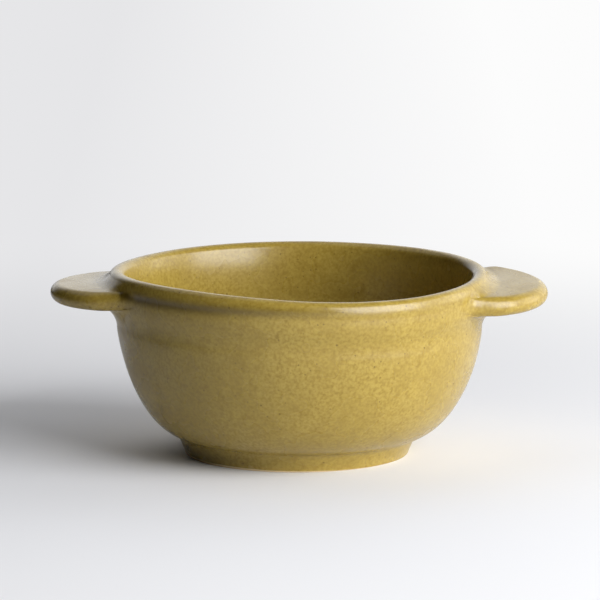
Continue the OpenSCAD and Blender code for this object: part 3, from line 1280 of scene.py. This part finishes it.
@dataclass(frozen=True)
class Studio:
    """Pale floor and backdrop beside a large soft window on the right.

    Attributes:
        lamps: the window, and the pale wall beside it that throws its light back.
        glows: the pale backdrop, and the pale wall high up on the left.
        backdrop: the backdrop's colours on the left, in the middle and on the right, paler towards the
            window as painted light.
        backdrop_reach: how far from the middle it has its left and right colours, as the
            sine of an angle.
        floor_r: the radius of the floor.
        floor_sides: how many sides the floor has.
        matt: the floor's colours: a dark grey on the far left, which is painted shade of the unlit side, and
            pale everywhere else.
        painted_shade_between: the places along X where the painted shade goes over into the pale colour.
        floor_reach: how far from the middle the floor has the backdrop's colours.
        far: the distances from the bowl at which the floor starts to take the backdrop's
            tone, and has it in full.
        lens: the camera's focal length on a sensor 36 mm wide.
        camera_place: where the camera stands.
        camera_down: how far below the horizon it looks.
    """

    lamps: tuple[SoftLamp, ...] = (
        SoftLamp("window", math.radians(53), math.radians(20), 1.3, (1.2, 1.1), 36.0),
        SoftLamp("pale_wall", math.radians(103), math.radians(18), 1.3, (0.75, 0.9), 5.5),
    )
    glows: tuple[SoftGlow, ...] = (
        SoftGlow(math.radians(160), 0.0, math.radians(32), math.radians(60), 1.25),
        SoftGlow(math.radians(-135), math.radians(62), math.radians(14), math.radians(34), 0.7),
    )
    # painted light: the backdrop grows paler towards the window on the right
    backdrop: tuple[str, str, str] = ("#e6e6e8", "#f2f2f3", "#fcfcfc")
    backdrop_reach: float = 0.053
    floor_r: float = 6.0
    floor_sides: int = 72
    # painted shade: the floor turns dark grey towards the far left, the unlit side of the room, which the
    # bowl reflects
    matt: tuple[str, str] = ("#4c4c4c", "#ebecf0")
    painted_shade_between: tuple[float, float] = (-0.4, -0.13)
    floor_reach: float = mm(110)
    far: tuple[float, float] = (0.06, 0.5)
    lens: float = 338.8
    camera_place: tuple[float, float, float] = (mm(0.35), -2.0, 0.3906)
    camera_down: float = math.radians(9.52)

    def tone(self, tree: Tree, across: Socket, reach: float) -> Socket:
        """Backdrop's tone, which grows paler from the left to the right, as painted light from the window.

        Args:
            tree: the node tree.
            across: the place from left to right, 0 in the middle.
            reach: how far from the middle it has its left and right colours.

        Returns:
            The output with the colour.
        """
        left, middle, right = self.backdrop
        colour = hex_colour(left)
        for start, code in ((-reach, middle), (0.0, right)):
            share = add_node(
                tree, "ShaderNodeMapRange",
                {"Value": across, "From Min": start, "From Max": start + reach})[0]
            colour = add_node(
                tree, "ShaderNodeMix", {0: share, 6: colour, 7: hex_colour(code)},
                data_type="RGBA")[2]
        return colour

    def floor(self) -> None:
        """Makes the floor: matt and pale with painted shade on the far left, and further out of the
        backdrop's tone, glowing with its painted light for the camera.
        """
        turn = np.linspace(0, 2 * math.pi, self.floor_sides, endpoint=False)
        points = np.column_stack([
            self.floor_r * np.cos(turn), self.floor_r * np.sin(turn), np.zeros(self.floor_sides)])
        obj = plain_mesh("floor", points, [tuple(range(self.floor_sides))])
        made = bpy.data.materials.new("floor_with_painted_shade_and_light")
        tree = cleared_tree(made)
        place = add_node(tree, "ShaderNodeTexCoord")["Object"]
        across = add_node(tree, "ShaderNodeSeparateXYZ", {0: place})["X"]
        # painted shade: dark on the far left, pale elsewhere
        near = add_node(
            tree, "ShaderNodeMapRange",
            {"Value": across, "From Min": self.painted_shade_between[0], "From Max": self.painted_shade_between[1]})[0]
        dark, pale = self.matt
        matt = add_node(
            tree, "ShaderNodeMix", {0: near, 6: hex_colour(dark), 7: hex_colour(pale)},
            data_type="RGBA")[2]
        shader = add_node(tree, "ShaderNodeBsdfDiffuse", {"Color": matt})
        # painted light: further out the camera sees the floor glow with the backdrop's tone, paler towards
        # the window
        glow = add_node(tree, "ShaderNodeEmission", {"Color": self.tone(tree, across, self.floor_reach)})
        away = add_node(tree, "ShaderNodeVectorMath", {0: place}, operation="LENGTH")["Value"]
        far = add_node(
            tree, "ShaderNodeMapRange", {"Value": away, "From Min": self.far[0], "From Max": self.far[1]},
            interpolation_type="SMOOTHSTEP")[0]
        seen = add_node(tree, "ShaderNodeLightPath")["Is Camera Ray"]
        share = add_node(tree, "ShaderNodeMath", {0: far, 1: seen}, operation="MULTIPLY")[0]
        mixed = add_node(tree, "ShaderNodeMixShader", {0: share, 1: shader[0], 2: glow[0]})
        add_node(tree, "ShaderNodeOutputMaterial", {"Surface": mixed[0]})
        obj.data.materials.append(made)

    def world(self) -> None:
        """Sets the surroundings: the glows light the bowl, and the camera sees the backdrop's tone."""
        world = bpy.data.worlds.new("studio")
        bpy.context.scene.world = world
        tree = cleared_tree(world)
        facing = add_node(tree, "ShaderNodeTexCoord")["Generated"]
        light = 0.0
        for glow in self.glows:
            near = add_node(
                tree, "ShaderNodeVectorMath", {0: facing, 1: glow.towards()},
                operation="DOT_PRODUCT")["Value"]
            near = add_node(
                tree, "ShaderNodeMapRange",
                {"Value": near, "From Min": math.cos(glow.edge), "From Max": math.cos(glow.core)},
                interpolation_type="SMOOTHSTEP")[0]
            light = add_node(
                tree, "ShaderNodeMath", {0: near, 1: glow.light, 2: light},
                operation="MULTIPLY_ADD")[0]
        lit = add_node(tree, "ShaderNodeBackground", {"Color": hex_colour("#ffffff"), "Strength": light})
        # painted light: the camera sees the backdrop grow paler towards the window on the right
        across = add_node(tree, "ShaderNodeSeparateXYZ", {0: facing})["X"]
        shown = add_node(
            tree, "ShaderNodeBackground", {"Color": self.tone(tree, across, self.backdrop_reach)})
        seen = add_node(tree, "ShaderNodeLightPath")["Is Camera Ray"]
        mixed = add_node(tree, "ShaderNodeMixShader", {0: seen, 1: lit[0], 2: shown[0]})
        add_node(tree, "ShaderNodeOutputWorld", {"Surface": mixed[0]})

    def camera(self) -> None:
        """Places the camera at the photograph's viewing angle."""
        data = bpy.data.cameras.new("camera")
        data.sensor_width = 36.0
        data.lens = self.lens
        data.clip_end = 100.0
        obj = bpy.data.objects.new("camera", data)
        obj.location = self.camera_place
        obj.rotation_euler = (math.pi / 2 - self.camera_down, 0, 0)
        bpy.context.scene.collection.objects.link(obj)
        bpy.context.scene.camera = obj

    def build(self) -> None:
        """Sets up the whole studio."""
        self.floor()
        for lamp in self.lamps:
            lamp.hang()
        self.world()
        self.camera()
        bpy.context.scene.view_settings.view_transform = "Standard"


def main() -> None:
    """Builds the bowl and its studio, piece by piece."""
    logging.basicConfig(level=logging.INFO, format="%(name)s: %(message)s")
    _, bowl_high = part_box("bowl_body")
    _, foot_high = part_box("foot_ring")
    _, lug_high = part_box("right_lug")
    sizes = BowlSizes(height=bowl_high[2], rim_r=bowl_high[0], foot_h=foot_high[2])
    pools_and_shade = glaze_pools_and_shade(sizes)
    foot_glaze = SatinGlaze(pools_and_shade, BareClay(height=mm(1)), name="satin_ochre_glaze_with_painted_shade_over_bare_clay")
    finishes = {"glaze": SatinGlaze(pools_and_shade).material(), "foot_glaze": foot_glaze.material()}
    shaping = Shaping(throw=Throwing().tree(), warp=KilnWarp(height=sizes.height).tree())
    lug_reach = lug_high[0]
    pieces = [
        BowlBody(sizes),
        FootRing(sizes),
        Lug(sizes, Side.LEFT, lug_reach, pitch=0.016, roll=0.0075, lift=mm(-0.4), stretch=mm(0.1)),
        Lug(sizes, Side.RIGHT, lug_reach, pitch=-0.018, roll=0.036, lift=mm(0.75), stretch=mm(0.4),
            thick=mm(7.1)),
    ]
    for piece in pieces:
        piece.build(shaping)
        piece.dress(finishes)
    Studio().build()


if __name__ == "__main__":
    main()
